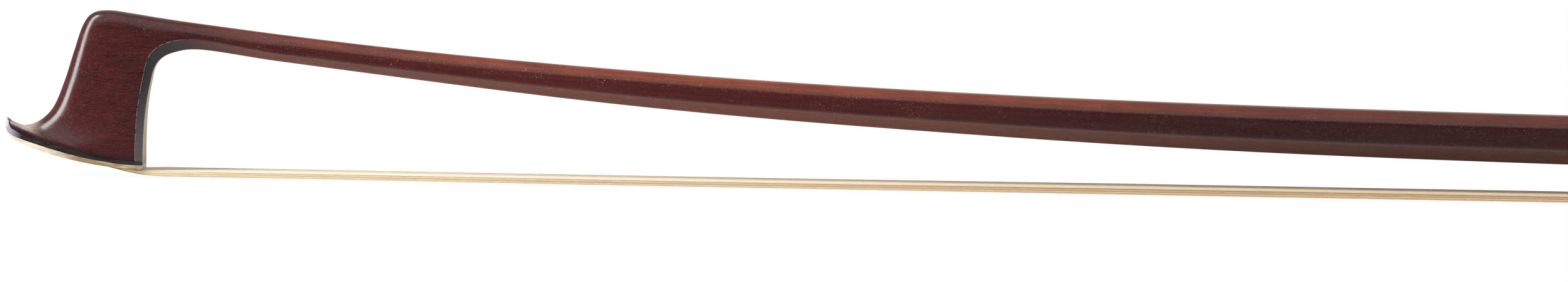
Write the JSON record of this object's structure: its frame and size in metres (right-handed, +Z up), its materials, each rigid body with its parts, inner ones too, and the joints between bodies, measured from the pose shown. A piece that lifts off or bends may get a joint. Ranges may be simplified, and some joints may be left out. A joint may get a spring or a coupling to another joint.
{
  "type": "violin bow",
  "caption": "Full-size violin bow: carved head with a bone plate, octagonal wooden stick, horsehair ribbon, and an ebony and silver frog drawn along the handle by a screw button.",
  "frame": {"origin": "middle of the bounding box, on the ground that the bow stands on hair side down", "axes": "+X from the head towards the screw button, +Y across the bow, +Z up from the hair to the stick"},
  "size_m": [0.7441, 0.0132, 0.0262],
  "materials": {
    "bow_wood": "thin satin varnish",
    "ebony": "polished",
    "bone": "satin",
    "horsehair": "straight strands",
    "maple": "bare",
    "waxed_thread": "waxed",
    "silver": "polished",
    "brass": "machined",
    "steel": "machined",
    "pearl": "polished",
    "goatskin": "smooth"
  },
  "bodies": {
    "stick": {"stick": "bow_wood", "tip_liner": "ebony", "tip_plate": "bone", "tip_plug": "maple", "tip_hair": "horsehair", "tip_knot_thread": "waxed_thread", "hair_ribbon": "horsehair", "wire_winding": "silver", "thumb_leather": "goatskin"},
    "frog": {"frog_block": "ebony", "underslide": "silver", "underslide_pin_front": "silver", "underslide_pin_rear": "silver", "eyelet": "brass", "ferrule": "silver", "spread_wedge": "maple", "frog_hair": "horsehair", "frog_knot_thread": "waxed_thread", "frog_plug": "maple", "slide_base": "ebony", "slide_pearl": "pearl", "heel_plate": "silver", "heel_pin_upper": "silver", "heel_pin_lower": "silver", "heel_pin_under": "silver", "eye_ring_left": "silver", "eye_ring_right": "silver", "eye_pearl_left": "pearl", "eye_pearl_right": "pearl"},
    "button": {"screw": "steel", "button_core": "ebony", "button_front_ring": "silver", "button_rear_cap": "silver", "button_pearl": "pearl"}
  },
  "joints": [
    {"name": "frog_slide", "type": "slide", "parent": "stick", "child": "frog", "axis": [0.999, 0, 0.0445], "range_m": [-0.004, 0.002], "deforming": ["hair_ribbon"]},
    {"name": "screw_turn", "type": "hinge", "parent": "stick", "child": "button", "pos_m": [0.3, 0, 0.01848], "axis": [-0.999, 0, -0.0445], "range_deg": [-1801, 901]}
  ],
  "couplings": [
    {"joint": "screw_turn", "follows": "frog_slide", "rad_per_m": 7854}
  ]
}
